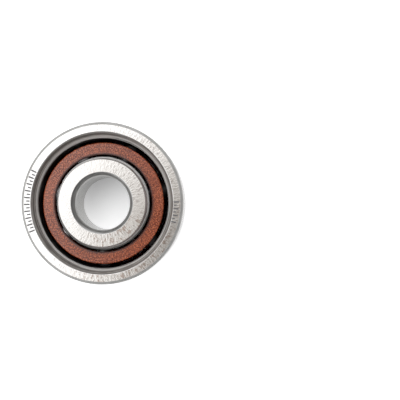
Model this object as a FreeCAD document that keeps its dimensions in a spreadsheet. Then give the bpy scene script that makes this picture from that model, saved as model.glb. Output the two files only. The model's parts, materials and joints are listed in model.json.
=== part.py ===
import FreeCAD, Part
import math
import os
import Sketcher

# Single-row angular contact ball bearing with an open front, in millimetres.
#
# The axis of the bearing is Z. The back face lies on Z = 0 and the front face,
# where the outer ring is relieved, looks up along +Z. The origin is on the
# axis, at the back face. The thrust line leans so that the outer ring is
# touched below the ball's middle and the inner ring above it.
#
# Every sub-part is one object of the document: two turned rings, one turned
# and drilled cage, and the balls.

# Driving sizes: name, value, meaning.
DRIVING_SIZES = (
    ("bore_diameter", 10.0, "mm, hole for the shaft"),
    ("outside_diameter", 30.0, "mm, seat in the housing"),
    ("ring_width", 9.0, "mm, both rings"),
    ("ball_diameter", 4.7625, "mm, 3/16 inch"),
    ("ball_count", 7, "balls in the row"),
    ("first_ball_angle", 13.0, "degrees from +X, counter-clockwise"),
    ("contact_angle", 15.0, "degrees, lean of the thrust line"),
    ("pitch_circle_inset", 0.15, "mm, ball circle inside the middle of the rings"),
    ("groove_conformity", 0.52, "groove radius as a share of ball diameter"),
    ("ball_clearance", 0.015, "mm, ball to groove along the thrust line"),
    ("guide_shoulder_height", 0.81, "mm, outer ring, back shoulder above its groove"),
    ("open_shoulder_height", 0.13, "mm, outer ring, front shoulder above its groove"),
    ("step_rise", 0.46, "mm, outer ring, radial height of the step in the relief"),
    ("step_depth", 0.45, "mm, outer ring, axial depth of the step in the relief"),
    ("mouth_rise", 0.53, "mm, outer ring, radial height of the relief's wall"),
    ("mouth_depth", 1.03, "mm, outer ring, axial depth of the relief's wall"),
    ("thrust_shoulder_height", 1.20, "mm, inner ring, front shoulder above its groove"),
    ("rear_shoulder_height", 0.70, "mm, inner ring, back shoulder above its groove"),
    ("recess_rise", 0.20, "mm, inner ring, radial height of the wall from the front face"),
    ("recess_depth", 1.15, "mm, inner ring, axial depth of the wall from the front face"),
    ("ledge_rise", 0.40, "mm, inner ring, radial height of the ledge down to the shoulder"),
    ("ledge_depth", 0.40, "mm, inner ring, axial depth of the ledge down to the shoulder"),
    ("shoulder_bevel", 0.30, "mm, bevel of both back shoulders"),
    ("back_corner_radius", 0.60, "mm, outer ring, outside corner at the back"),
    ("front_corner_radius", 0.55, "mm, outer ring, outside corner at the front"),
    ("bore_corner_rise", 0.72, "mm, inner ring, radial size of the bore corners"),
    ("bore_corner_depth", 1.25, "mm, inner ring, axial size of the bore corners"),
    ("cage_guide_clearance", 0.16, "mm, cage to the outer ring's guide shoulder"),
    ("cage_inner_clearance", 0.39, "mm, cage to the inner ring's thrust shoulder"),
    ("cage_rim", 0.55, "mm, cage, side rim beside a pocket"),
    ("cage_bevel", 0.15, "mm, cage, bevel of its four edges"),
    ("pocket_clearance", 0.2375, "mm, pocket diameter over ball diameter"),
)

# Lengths worked out from the driving sizes, as expressions for setExpression.
BORE_RADIUS = "(Sizes.bore_diameter / 2)"
OUTSIDE_RADIUS = "(Sizes.outside_diameter / 2)"
BACK_FACE = "0"
FRONT_FACE = "Sizes.ring_width"
MID_HEIGHT = "(Sizes.ring_width / 2)"
BALL_RADIUS = "(Sizes.ball_diameter / 2)"
PITCH_RADIUS = f"(({BORE_RADIUS} + {OUTSIDE_RADIUS}) / 2 - Sizes.pitch_circle_inset)"

# The grooves are a little wider than the ball. Each groove's centre is shifted
# from the ball's centre along the thrust line, away from its own contact.
GROOVE_RADIUS = "(Sizes.groove_conformity * Sizes.ball_diameter)"
GROOVE_SHIFT = f"({GROOVE_RADIUS} - {BALL_RADIUS} - Sizes.ball_clearance)"
SHIFT_RADIAL = f"({GROOVE_SHIFT} * cos(Sizes.contact_angle * 1 deg))"
SHIFT_AXIAL = f"({GROOVE_SHIFT} * sin(Sizes.contact_angle * 1 deg))"
OUTER_GROOVE_CENTRE = f"({PITCH_RADIUS} - {SHIFT_RADIAL})"
OUTER_GROOVE_HEIGHT = f"({MID_HEIGHT} + {SHIFT_AXIAL})"
INNER_GROOVE_CENTRE = f"({PITCH_RADIUS} + {SHIFT_RADIAL})"
INNER_GROOVE_HEIGHT = f"({MID_HEIGHT} - {SHIFT_AXIAL})"
OUTER_GROOVE_BOTTOM = f"({OUTER_GROOVE_CENTRE} + {GROOVE_RADIUS})"
INNER_GROOVE_BOTTOM = f"({INNER_GROOVE_CENTRE} - {GROOVE_RADIUS})"

# Radii of the shoulders beside the grooves.
GUIDE_SHOULDER = f"({OUTER_GROOVE_BOTTOM} - Sizes.guide_shoulder_height)"
OPEN_SHOULDER = f"({OUTER_GROOVE_BOTTOM} - Sizes.open_shoulder_height)"
THRUST_SHOULDER = f"({INNER_GROOVE_BOTTOM} + Sizes.thrust_shoulder_height)"
REAR_SHOULDER = f"({INNER_GROOVE_BOTTOM} + Sizes.rear_shoulder_height)"

# The cage fills the space between the two tall shoulders, with its clearances.
CAGE_OUTER = f"({GUIDE_SHOULDER} - Sizes.cage_guide_clearance)"
CAGE_INNER = f"({THRUST_SHOULDER} + Sizes.cage_inner_clearance)"
POCKET_RADIUS = f"({BALL_RADIUS} + Sizes.pocket_clearance / 2)"
CAGE_HALF_WIDTH = f"({POCKET_RADIUS} + Sizes.cage_rim)"
CAGE_BOTTOM = f"({MID_HEIGHT} - {CAGE_HALF_WIDTH})"
CAGE_TOP = f"({MID_HEIGHT} + {CAGE_HALF_WIDTH})"

# A bore corner is one arc, tangent to the bore, that meets the face at an edge.
BORE_CORNER_RADIUS = (
    "((Sizes.bore_corner_rise ^ 2 + Sizes.bore_corner_depth ^ 2)"
    " / (2 * Sizes.bore_corner_rise))"
)

# How the edge after a corner of an outline runs, seen from inside the metal.
ROUND = 1
HOLLOW = -1

# Keeps a ratio of volumes finite when a cut has removed nothing, in cubic mm.
TINY_VOLUME = 1e-9


def add_sizes(document):
    """Put the driving sizes in a sheet, one row each, with their names as aliases."""
    sheet = document.addObject("Spreadsheet::Sheet", "Sizes")
    sheet.set("A1", "size")
    sheet.set("B1", "value")
    sheet.set("C1", "meaning")
    for row, (name, number, meaning) in enumerate(DRIVING_SIZES, start=2):
        sheet.set(f"A{row}", name)
        sheet.set(f"B{row}", str(number))
        sheet.set(f"C{row}", meaning)
        sheet.setAlias(f"B{row}", name)
    document.recompute()
    return sheet


def value(item, expression):
    """The number that an expression has now."""
    return float(item.evalExpression(expression))


def origin_feature(body, role):
    """A plane or an axis of the body's own origin."""
    for feature in body.Origin.OriginFeatures:
        if feature.Role == role:
            return feature
    raise RuntimeError(f"{body.Name} has no {role}")


def add_sketch(body, name, plane):
    """A new sketch on one of the body's own origin planes."""
    sketch = body.newObject("Sketcher::SketchObject", name)
    sketch.AttachmentSupport = [(origin_feature(body, plane), "")]
    sketch.MapMode = "FlatFace"
    return sketch


def bind(sketch, index, name, expression):
    """Name a sketch's constraint and tie it to the sheet."""
    sketch.renameConstraint(index, name)
    sketch.setExpression(f"Constraints.{name}", expression)


def groove_reach(groove_radius, groove_centre, shoulder):
    """Axial distance from a groove's centre to where it meets a shoulder."""
    return f"sqrt({groove_radius} ^ 2 - ({shoulder} - {groove_centre}) ^ 2)"


def arc_centre(start, end, radius, bend):
    """Centre of the arc from start to end, on the metal's side when it is round."""
    chord = end - start
    half = chord.Length / 2
    to_left = FreeCAD.Vector(-chord.y, chord.x, 0).normalize()
    offset = math.sqrt(radius ** 2 - half ** 2)
    return (start + end) / 2 + to_left * (offset * bend)


def add_outline(sketch, corners):
    """Draw a closed outline counter-clockwise and tie each corner to the sheet.

    A corner is (name, radius, height, edge). The edge leads to the next corner:
    None is straight, and (arc radius, ROUND or HOLLOW) is an arc.
    """
    points = []
    for _, radius, height, _ in corners:
        points.append(FreeCAD.Vector(value(sketch, radius), value(sketch, height), 0))
    starts = []
    ends = []
    for number, (name, _, _, edge) in enumerate(corners):
        start = points[number]
        end = points[(number + 1) % len(points)]
        if edge is None:
            index = sketch.addGeometry(Part.LineSegment(start, end), False)
            starts.append((index, 1))
            ends.append((index, 2))
            continue
        arc_radius, bend = edge
        radius = value(sketch, arc_radius)
        centre = arc_centre(start, end, radius, bend)
        first, last = (start, end) if bend == ROUND else (end, start)
        first_angle = math.atan2(first.y - centre.y, first.x - centre.x)
        last_angle = math.atan2(last.y - centre.y, last.x - centre.x)
        circle = Part.Circle(centre, FreeCAD.Vector(0, 0, 1), radius)
        arc = Part.ArcOfCircle(circle, first_angle, last_angle)
        index = sketch.addGeometry(arc, False)
        starts.append((index, 1) if bend == ROUND else (index, 2))
        ends.append((index, 2) if bend == ROUND else (index, 1))
        constraint = sketch.addConstraint(Sketcher.Constraint("Radius", index, radius))
        bind(sketch, constraint, f"{name}_arc", arc_radius)
    for number, (name, radius, height, _) in enumerate(corners):
        start = starts[number]
        sketch.addConstraint(Sketcher.Constraint("Coincident", *ends[number - 1], *start))
        across = Sketcher.Constraint("DistanceX", -1, 1, *start, points[number].x)
        bind(sketch, sketch.addConstraint(across), f"{name}_radius", radius)
        if height == BACK_FACE:
            sketch.addConstraint(Sketcher.Constraint("PointOnObject", *start, -1))
            continue
        upward = Sketcher.Constraint("DistanceY", -1, 1, *start, points[number].y)
        bind(sketch, sketch.addConstraint(upward), f"{name}_height", height)


def add_turned_body(document, name, corners):
    """A body turned about Z from an outline in the X-Z plane."""
    body = document.addObject("PartDesign::Body", name)
    body.Label = name
    sketch = add_sketch(body, f"{name}_outline", "XZ_Plane")
    add_outline(sketch, corners)
    turned = body.newObject("PartDesign::Revolution", f"{name}_turned")
    turned.Profile = sketch
    turned.ReferenceAxis = (sketch, ["V_Axis"])
    turned.Angle = 360
    body.Tip = turned
    return body


def add_outer_ring(document):
    """Outer ring: tall guide shoulder at the back, relieved shoulder at the front."""
    guide_reach = groove_reach(GROOVE_RADIUS, OUTER_GROOVE_CENTRE, GUIDE_SHOULDER)
    open_reach = groove_reach(GROOVE_RADIUS, OUTER_GROOVE_CENTRE, OPEN_SHOULDER)
    step_top = f"({OPEN_SHOULDER} + Sizes.step_rise)"
    mouth = f"({step_top} + Sizes.mouth_rise)"
    mouth_foot = f"({FRONT_FACE} - Sizes.mouth_depth)"
    step_foot = f"({mouth_foot} - Sizes.step_depth)"
    back_corner = "Sizes.back_corner_radius"
    front_corner = "Sizes.front_corner_radius"
    corners = (
        ("back_face_inner", f"{GUIDE_SHOULDER} + Sizes.shoulder_bevel", BACK_FACE, None),
        ("back_face_outer", f"{OUTSIDE_RADIUS} - {back_corner}", BACK_FACE, (back_corner, ROUND)),
        ("seat_back", OUTSIDE_RADIUS, back_corner, None),
        ("seat_front", OUTSIDE_RADIUS, f"{FRONT_FACE} - {front_corner}", (front_corner, ROUND)),
        ("front_face_outer", f"{OUTSIDE_RADIUS} - {front_corner}", FRONT_FACE, None),
        ("mouth_edge", mouth, FRONT_FACE, None),
        ("step_edge", step_top, mouth_foot, None),
        ("open_shoulder_front", OPEN_SHOULDER, step_foot, None),
        ("open_shoulder_groove", OPEN_SHOULDER, f"{OUTER_GROOVE_HEIGHT} + {open_reach}",
         (GROOVE_RADIUS, HOLLOW)),
        ("guide_shoulder_groove", GUIDE_SHOULDER, f"{OUTER_GROOVE_HEIGHT} - {guide_reach}", None),
        ("guide_shoulder_back", GUIDE_SHOULDER, "Sizes.shoulder_bevel", None),
    )
    return add_turned_body(document, "outer_ring", corners)


def add_inner_ring(document):
    """Inner ring: tall thrust shoulder at the front, lower shoulder at the back."""
    thrust_reach = groove_reach(GROOVE_RADIUS, INNER_GROOVE_CENTRE, THRUST_SHOULDER)
    rear_reach = groove_reach(GROOVE_RADIUS, INNER_GROOVE_CENTRE, REAR_SHOULDER)
    corner_rise = "Sizes.bore_corner_rise"
    corner_depth = "Sizes.bore_corner_depth"
    face_inner = f"{BORE_RADIUS} + {corner_rise}"
    ledge_top = f"({THRUST_SHOULDER} - Sizes.ledge_rise)"
    recess_foot = f"({FRONT_FACE} - Sizes.recess_depth)"
    corners = (
        ("back_face_inner", face_inner, BACK_FACE, None),
        ("back_face_outer", f"{REAR_SHOULDER} - Sizes.shoulder_bevel", BACK_FACE, None),
        ("rear_shoulder_back", REAR_SHOULDER, "Sizes.shoulder_bevel", None),
        ("rear_shoulder_groove", REAR_SHOULDER, f"{INNER_GROOVE_HEIGHT} - {rear_reach}",
         (GROOVE_RADIUS, HOLLOW)),
        ("thrust_shoulder_groove", THRUST_SHOULDER, f"{INNER_GROOVE_HEIGHT} + {thrust_reach}",
         None),
        ("thrust_shoulder_front", THRUST_SHOULDER, f"{recess_foot} - Sizes.ledge_depth", None),
        ("ledge_edge", ledge_top, recess_foot, None),
        ("front_face_outer", f"{ledge_top} - Sizes.recess_rise", FRONT_FACE, None),
        ("front_face_inner", face_inner, FRONT_FACE, (BORE_CORNER_RADIUS, ROUND)),
        ("bore_front", BORE_RADIUS, f"{FRONT_FACE} - {corner_depth}", None),
        ("bore_back", BORE_RADIUS, corner_depth, (BORE_CORNER_RADIUS, ROUND)),
    )
    return add_turned_body(document, "inner_ring", corners)


def add_cage(document):
    """Cage: a turned ring with one round radial pocket for each ball."""
    bevel = "Sizes.cage_bevel"
    corners = (
        ("bottom_inner", f"{CAGE_INNER} + {bevel}", CAGE_BOTTOM, None),
        ("bottom_outer", f"{CAGE_OUTER} - {bevel}", CAGE_BOTTOM, None),
        ("outer_bottom", CAGE_OUTER, f"{CAGE_BOTTOM} + {bevel}", None),
        ("outer_top", CAGE_OUTER, f"{CAGE_TOP} - {bevel}", None),
        ("top_outer", f"{CAGE_OUTER} - {bevel}", CAGE_TOP, None),
        ("top_inner", f"{CAGE_INNER} + {bevel}", CAGE_TOP, None),
        ("inner_top", CAGE_INNER, f"{CAGE_TOP} - {bevel}", None),
        ("inner_bottom", CAGE_INNER, f"{CAGE_BOTTOM} + {bevel}", None),
    )
    body = add_turned_body(document, "cage", corners)
    document.recompute()
    blank_volume = body.Shape.Volume

    # The pocket's circle stands in the Y-Z plane and is cut outwards along +X.
    sketch = add_sketch(body, "pocket_outline", "YZ_Plane")
    middle = FreeCAD.Vector(0, value(sketch, MID_HEIGHT), 0)
    radius = value(sketch, POCKET_RADIUS)
    circle = sketch.addGeometry(Part.Circle(middle, FreeCAD.Vector(0, 0, 1), radius), False)
    size = sketch.addConstraint(Sketcher.Constraint("Radius", circle, radius))
    bind(sketch, size, "pocket_radius", POCKET_RADIUS)
    sketch.addConstraint(Sketcher.Constraint("PointOnObject", circle, 3, -2))
    lift = sketch.addConstraint(Sketcher.Constraint("DistanceY", -1, 1, circle, 3, middle.y))
    bind(sketch, lift, "pocket_height", MID_HEIGHT)
    pocket = body.newObject("PartDesign::Pocket", "pocket")
    pocket.Profile = sketch
    pocket.Type = "ThroughAll"
    pocket.Reversed = True
    body.Tip = pocket
    document.recompute()
    one_pocket = blank_volume - body.Shape.Volume

    pattern = body.newObject("PartDesign::PolarPattern", "pockets")
    pattern.Originals = [pocket]
    pattern.Axis = (origin_feature(body, "Z_Axis"), [""])
    pattern.Angle = 360
    pattern.setExpression("Occurrences", "Sizes.ball_count")
    body.Tip = pattern
    body.Placement = FreeCAD.Placement(FreeCAD.Vector(0, 0, 0), FreeCAD.Vector(0, 0, 1), 0)
    body.setExpression("Placement.Rotation.Angle", "Sizes.first_ball_angle * 1 deg")
    document.recompute()
    pockets_cut = (blank_volume - body.Shape.Volume) / max(one_pocket, TINY_VOLUME)
    if round(pockets_cut) != value(body, "Sizes.ball_count"):
        raise RuntimeError(f"{pockets_cut:.2f} pockets were cut in the cage")
    return body


def add_balls(document):
    """The balls, evenly spaced on the pitch circle, each in its own pocket."""
    balls = []
    count = int(value(document.Sizes, "Sizes.ball_count"))
    for number in range(count):
        name = f"ball_{number + 1}"
        ball = document.addObject("Part::Sphere", name)
        ball.Label = name
        ball.Placement = FreeCAD.Placement()
        ball.setExpression("Radius", BALL_RADIUS)
        angle = f"((Sizes.first_ball_angle + {number} * 360 / Sizes.ball_count) * 1 deg)"
        ball.setExpression("Placement.Base.x", f"{PITCH_RADIUS} * cos({angle})")
        ball.setExpression("Placement.Base.y", f"{PITCH_RADIUS} * sin({angle})")
        ball.setExpression("Placement.Base.z", MID_HEIGHT)
        balls.append(ball)
    return balls


def check(document, sub_parts):
    """Stop when anything failed to build."""
    for item in document.Objects:
        if "Invalid" in item.State or "Error" in item.State:
            raise RuntimeError(f"{item.Name} failed: {item.State}")
    for item in sub_parts:
        if item.Shape.isNull() or not item.Shape.isValid():
            raise RuntimeError(f"{item.Label} has no valid shape")
        if len(item.Shape.Solids) != 1:
            raise RuntimeError(f"{item.Label} is not one solid")


def write(sub_parts):
    """One STEP file for each sub-part, named by its label."""
    os.makedirs("parts", exist_ok=True)
    for item in sub_parts:
        item.Shape.exportStep(f"parts/{item.Label}.step")
        print(f"{item.Label}: {item.Shape.Volume:.3f} mm3")


def print_motion(document):
    """Sizes and ratios of the rolling motion, with the outer ring at rest."""
    sheet = document.Sizes
    pitch_diameter = 2 * value(sheet, PITCH_RADIUS)
    ball_diameter = value(sheet, "Sizes.ball_diameter")
    contact_angle = math.radians(value(sheet, "Sizes.contact_angle"))
    slope = ball_diameter * math.cos(contact_angle) / pitch_diameter
    print(f"pitch diameter {pitch_diameter:.4f}")
    print(f"outer groove bottom {value(sheet, OUTER_GROOVE_BOTTOM):.4f}")
    print(f"inner groove bottom {value(sheet, INNER_GROOVE_BOTTOM):.4f}")
    print(f"guide, open shoulder {value(sheet, GUIDE_SHOULDER):.4f} {value(sheet, OPEN_SHOULDER):.4f}")
    print(f"thrust, rear shoulder {value(sheet, THRUST_SHOULDER):.4f} {value(sheet, REAR_SHOULDER):.4f}")
    print(f"cage radii {value(sheet, CAGE_INNER):.4f} {value(sheet, CAGE_OUTER):.4f}")
    print(f"cage heights {value(sheet, CAGE_BOTTOM):.4f} {value(sheet, CAGE_TOP):.4f}")
    print(f"cage turns per inner ring turn {(1 - slope) / 2:.6f}")
    print(f"ball spin per inner ring turn {-pitch_diameter * (1 - slope ** 2) / (2 * ball_diameter):.6f}")


def main():
    document = FreeCAD.newDocument("AngularContactBearing")
    add_sizes(document)
    sub_parts = [add_outer_ring(document), add_inner_ring(document), add_cage(document)]
    sub_parts.extend(add_balls(document))
    document.recompute()
    check(document, sub_parts)
    write(sub_parts)
    print_motion(document)


main()
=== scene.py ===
# %% [markdown]
# # An angular contact ball bearing, finished in Blender
#
# The bearing lies on its back face on a pale table and is seen from above, a
# little from the right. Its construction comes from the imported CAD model: two
# steel rings, a cage cut from cloth laminate, and seven balls. This lesson
# rebuilds each piece as a fine mesh, gives every surface the finish that its
# manufacture leaves, and lights the whole as a small product on a light table.
#
# Everything is in metres, in the frame of the CAD model: the axis is Z, the back
# face lies on Z = 0 and the open front looks up.

import json
import math

import bpy
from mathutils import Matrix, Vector


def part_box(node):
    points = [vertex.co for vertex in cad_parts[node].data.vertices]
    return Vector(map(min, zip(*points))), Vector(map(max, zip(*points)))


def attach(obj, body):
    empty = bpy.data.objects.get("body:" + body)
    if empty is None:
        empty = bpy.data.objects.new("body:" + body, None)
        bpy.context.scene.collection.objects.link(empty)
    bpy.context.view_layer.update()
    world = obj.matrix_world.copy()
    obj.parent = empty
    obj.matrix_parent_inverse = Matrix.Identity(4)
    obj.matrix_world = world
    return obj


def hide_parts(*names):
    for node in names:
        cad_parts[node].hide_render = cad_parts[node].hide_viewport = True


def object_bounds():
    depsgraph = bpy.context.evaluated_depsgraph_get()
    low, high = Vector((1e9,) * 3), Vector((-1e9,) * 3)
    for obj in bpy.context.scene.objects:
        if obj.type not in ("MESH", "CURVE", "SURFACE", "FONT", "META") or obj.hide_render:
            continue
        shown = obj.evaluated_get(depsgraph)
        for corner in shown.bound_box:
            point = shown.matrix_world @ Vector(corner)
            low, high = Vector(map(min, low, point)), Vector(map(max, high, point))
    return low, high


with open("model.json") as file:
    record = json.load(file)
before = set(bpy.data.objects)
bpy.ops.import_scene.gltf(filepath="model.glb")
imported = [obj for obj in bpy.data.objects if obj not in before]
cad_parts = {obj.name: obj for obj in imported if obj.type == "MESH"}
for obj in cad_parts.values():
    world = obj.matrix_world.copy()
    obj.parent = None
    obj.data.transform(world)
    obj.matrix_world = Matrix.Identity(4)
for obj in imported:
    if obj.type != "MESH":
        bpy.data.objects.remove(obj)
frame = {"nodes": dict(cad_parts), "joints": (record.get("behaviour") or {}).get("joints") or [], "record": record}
cad_low, cad_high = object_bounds()
print("nodes:", sorted(frame["nodes"]))

# %% [markdown]
# ## Sizes
#
# Sizes that the frame can tell are read from it, so that a new pack of the model
# carries the pieces along. The shapes between them, such as the steps of the
# relief or a bevel, can't be read from a box, so they are named here once, in
# millimetres, as a drawing gives them. A rise is measured outwards from the
# axis, and a depth along the axis, into the ring.

# %% Sizes read from the frame
MM = 0.001

record = frame["record"]
mounts = {mount["name"]: mount for mount in record["mounts"]}
joints = {joint["name"]: joint for joint in frame["joints"]}


def radial_reach(node):
    """Smallest and largest distance of a CAD node's corners from the axis."""
    radii = [math.hypot(v.co.x, v.co.y) for v in frame["nodes"][node].data.vertices]
    return min(radii), max(radii)


RING_WIDTH = cad_high.z
MID_HEIGHT = RING_WIDTH / 2
OUTSIDE_RADIUS = mounts["housing_seat"]["dims"]["r_mm"] * MM
BORE_RADIUS = mounts["shaft_bore"]["dims"]["r_mm"] * MM
GUIDE_SHOULDER, _ = radial_reach("outer_ring")
_, THRUST_SHOULDER = radial_reach("inner_ring")
CAGE_INNER, CAGE_OUTER = radial_reach("cage")
CAGE_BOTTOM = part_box("cage")[0].z
CAGE_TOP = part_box("cage")[1].z
BALL_RADIUS = (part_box("ball_1")[1].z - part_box("ball_1")[0].z) / 2
BALL_COUNT = sum(node.startswith("ball_") for node in frame["nodes"])

first_centre = Vector(joints["ball_1_spin"]["pos_m"])
first_axis = Vector(joints["ball_1_spin"]["axis"])
PITCH_RADIUS = math.hypot(first_centre.x, first_centre.y)
FIRST_BALL_ANGLE = math.atan2(first_centre.y, first_centre.x)
CONTACT_ANGLE = math.acos(first_axis.z)
print(f"{BALL_COUNT} balls of radius {BALL_RADIUS / MM:.3f} mm on radius {PITCH_RADIUS / MM:.3f} mm")

# %% Sizes of the outer ring, as its drawing gives them
SHOULDER_CUT = 0.68 * MM
STEP_RISE = 0.46 * MM
STEP_DEPTH = 0.45 * MM
MOUTH_RISE = 0.53 * MM
MOUTH_DEPTH = 1.03 * MM
LIP_WIDTH = 0.10 * MM
LIP_DEPTH = 0.026 * MM
BACK_CORNER = 0.60 * MM
FRONT_CORNER = 0.55 * MM

OPEN_SHOULDER = GUIDE_SHOULDER + SHOULDER_CUT
step_top = OPEN_SHOULDER + STEP_RISE
mouth = step_top + MOUTH_RISE
print(f"outer ring: land at radius {OPEN_SHOULDER / MM:.3f} mm, mouth at {mouth / MM:.3f} mm")

# %% Sizes of the inner ring
REAR_DROP = 0.50 * MM
RECESS_RISE = 0.20 * MM
RECESS_DEPTH = 1.15 * MM
LEDGE_RISE = 0.40 * MM
LEDGE_DEPTH = 0.40 * MM
BORE_CORNER_RISE = 0.72 * MM
BORE_CORNER_DEPTH = 1.25 * MM

REAR_SHOULDER = THRUST_SHOULDER - REAR_DROP
ledge_top = THRUST_SHOULDER - LEDGE_RISE
recess_foot = RING_WIDTH - RECESS_DEPTH
face_outer = ledge_top - RECESS_RISE
face_inner = BORE_RADIUS + BORE_CORNER_RISE
print(f"inner ring: front face from radius {face_inner / MM:.3f} to {face_outer / MM:.3f} mm")

# %% Bevels, grooves and pockets
SHOULDER_BEVEL = 0.30 * MM
CAGE_BEVEL = 0.15 * MM
GROOVE_TO_BALL = 0.52
BALL_CLEARANCE = 0.015 * MM
POCKET_CLEARANCE = 0.11875 * MM

GROOVE_RADIUS = 2 * BALL_RADIUS * GROOVE_TO_BALL
POCKET_RADIUS = BALL_RADIUS + POCKET_CLEARANCE
groove_shift = GROOVE_RADIUS - BALL_RADIUS - BALL_CLEARANCE
shift_radial = groove_shift * math.cos(CONTACT_ANGLE)
shift_axial = groove_shift * math.sin(CONTACT_ANGLE)
print(f"groove radius {GROOVE_RADIUS / MM:.3f} mm, pocket radius {POCKET_RADIUS / MM:.3f} mm")

# %% [markdown]
# ## Turning a ring
#
# A bearing ring is turned on a lathe, so its shape is one outline swept once
# round the axis. It could be built by scaling circles one by one or with the
# Screw modifier. Extruding the outline from a single point and spinning it keeps
# the outline readable as radii and heights, and gives clean rows of quads that
# the bevels can follow.
#
# Arcs in an outline come from a formula: start, end, radius, and the side on
# which the centre lies.

# %% Points of an outline
ARC_STEP = math.radians(6)


def arc(start, end, radius, hollow=False):
    """Points after start up to end along an arc; the metal lies to the left."""
    start, end = Vector(start), Vector(end)
    chord = end - start
    to_left = Vector((-chord.y, chord.x)).normalized()
    lift = math.sqrt(max(radius ** 2 - (chord.length / 2) ** 2, 0))
    centre = (start + end) / 2 + to_left * (-lift if hollow else lift)
    first = math.atan2(start.y - centre.y, start.x - centre.x)
    last = math.atan2(end.y - centre.y, end.x - centre.x)
    sweep = (last - first + math.pi) % (2 * math.pi) - math.pi
    steps = max(2, round(abs(sweep) / ARC_STEP))
    angles = [first + sweep * step / steps for step in range(1, steps + 1)]
    return [(centre.x + radius * math.cos(a), centre.y + radius * math.sin(a)) for a in angles]


def groove_edge(groove_centre, groove_height, shoulder, side):
    """Height at which a groove meets a shoulder, above (1) or below (-1) its centre."""
    return groove_height + side * math.sqrt(GROOVE_RADIUS ** 2 - (shoulder - groove_centre) ** 2)


# %% Spin an outline into a ring
TURN_STEPS = 240
MERGE_DISTANCE = 1e-7


def turned(name, outline):
    """Extrude the outline from one point, spin it about Z and close the seam."""
    bpy.ops.object.select_all(action="DESELECT")
    radius, height = outline[0]
    bpy.ops.mesh.primitive_plane_add(size=MM, location=(radius, 0, height))
    piece = bpy.context.object
    piece.name = name
    bpy.ops.object.mode_set(mode="EDIT")
    bpy.ops.mesh.select_all(action="SELECT")
    bpy.ops.mesh.merge(type="CENTER")
    for (here_r, here_z), (next_r, next_z) in zip(outline, outline[1:] + outline[:1]):
        step = (next_r - here_r, 0, next_z - here_z)
        bpy.ops.mesh.extrude_region_move(TRANSFORM_OT_translate={"value": step})
    bpy.ops.mesh.select_all(action="SELECT")
    bpy.ops.mesh.remove_doubles(threshold=MERGE_DISTANCE)
    bpy.ops.mesh.select_all(action="SELECT")
    bpy.ops.mesh.spin(steps=TURN_STEPS, angle=2 * math.pi, center=(0, 0, 0), axis=(0, 0, 1))
    bpy.ops.mesh.select_all(action="SELECT")
    bpy.ops.mesh.remove_doubles(threshold=MERGE_DISTANCE)
    bpy.ops.mesh.normals_make_consistent(inside=False)
    bpy.ops.object.mode_set(mode="OBJECT")
    bpy.ops.object.transform_apply(location=True, rotation=True, scale=True)
    print(f"{name}: {len(outline)} corners, {len(piece.data.polygons)} faces after the spin")
    return piece


# %% [markdown]
# ## Breaking the edges
#
# No edge of a real ring is sharp. Tumbling and brushing break each one to a few
# hundredths of a millimetre, and that sliver is what catches the light as a fine
# bright line. It could be drawn into every outline by hand, but a Bevel modifier
# that looks for sharp angles finds the edges by itself. Weighted normals then keep
# the large flat faces flat, so that the small bevels carry all of the turn in the
# shading, and the rims of the flat faces are marked as sharp to make sure of it.

# %% Break the sharp edges
EDGE_ANGLE = math.radians(18)
SMOOTH_ANGLE = math.radians(40)
NEARLY_FLAT = 0.999


def keep_faces_flat(piece):
    """Mark the rims of the flat faces as sharp, so that shading stays flat up to them."""
    bpy.ops.object.mode_set(mode="EDIT")
    bpy.ops.mesh.select_mode(type="FACE")
    bpy.ops.mesh.select_all(action="DESELECT")
    bpy.ops.object.mode_set(mode="OBJECT")
    for face in piece.data.polygons:
        face.select = abs(face.normal.z) > NEARLY_FLAT
    bpy.ops.object.mode_set(mode="EDIT")
    bpy.ops.mesh.region_to_loop()
    bpy.ops.mesh.mark_sharp()
    bpy.ops.mesh.select_mode(type="VERT")
    bpy.ops.object.mode_set(mode="OBJECT")


def break_edges(piece, width, segments=3):
    """Bevel the sharp edges and shade the rounded stretches smooth."""
    bpy.ops.object.select_all(action="DESELECT")
    piece.select_set(True)
    bpy.context.view_layer.objects.active = piece
    bpy.ops.object.modifier_add(type="BEVEL")
    bevel = piece.modifiers[-1]
    bevel.width = width
    bevel.segments = segments
    bevel.limit_method = "ANGLE"
    bevel.angle_limit = EDGE_ANGLE
    bpy.ops.object.modifier_apply(modifier=bevel.name)
    bpy.ops.object.shade_smooth_by_angle(angle=SMOOTH_ANGLE)
    keep_faces_flat(piece)
    bpy.ops.object.modifier_add(type="WEIGHTED_NORMAL")
    weighted = piece.modifiers[-1]
    weighted.keep_sharp = True
    bpy.ops.object.modifier_apply(modifier=weighted.name)
    print(f"{piece.name}: {len(piece.data.polygons)} faces with its edges broken")


# %% [markdown]
# ## Outer ring
#
# The back shoulder is tall and guides the cage. The front shoulder is cut away to
# a low land, and from it a step and a steep wall open out to the front face. A
# stone run round the mouth leaves a narrow, almost flat lip there, which catches
# the light as a bright line. The outline runs counter-clockwise, seen with the
# radius to the right and the height upwards, so that the metal always lies to its
# left.

# %% Outer ring
EDGE_BREAK = 0.05 * MM

outer_centre = PITCH_RADIUS - shift_radial
outer_height = MID_HEIGHT + shift_axial
guide_edge = (GUIDE_SHOULDER, groove_edge(outer_centre, outer_height, GUIDE_SHOULDER, -1))
open_edge = (OPEN_SHOULDER, groove_edge(outer_centre, outer_height, OPEN_SHOULDER, 1))
back_seat = (OUTSIDE_RADIUS, BACK_CORNER)
front_seat = (OUTSIDE_RADIUS, RING_WIDTH - FRONT_CORNER)
front_face = (OUTSIDE_RADIUS - FRONT_CORNER, RING_WIDTH)

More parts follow.
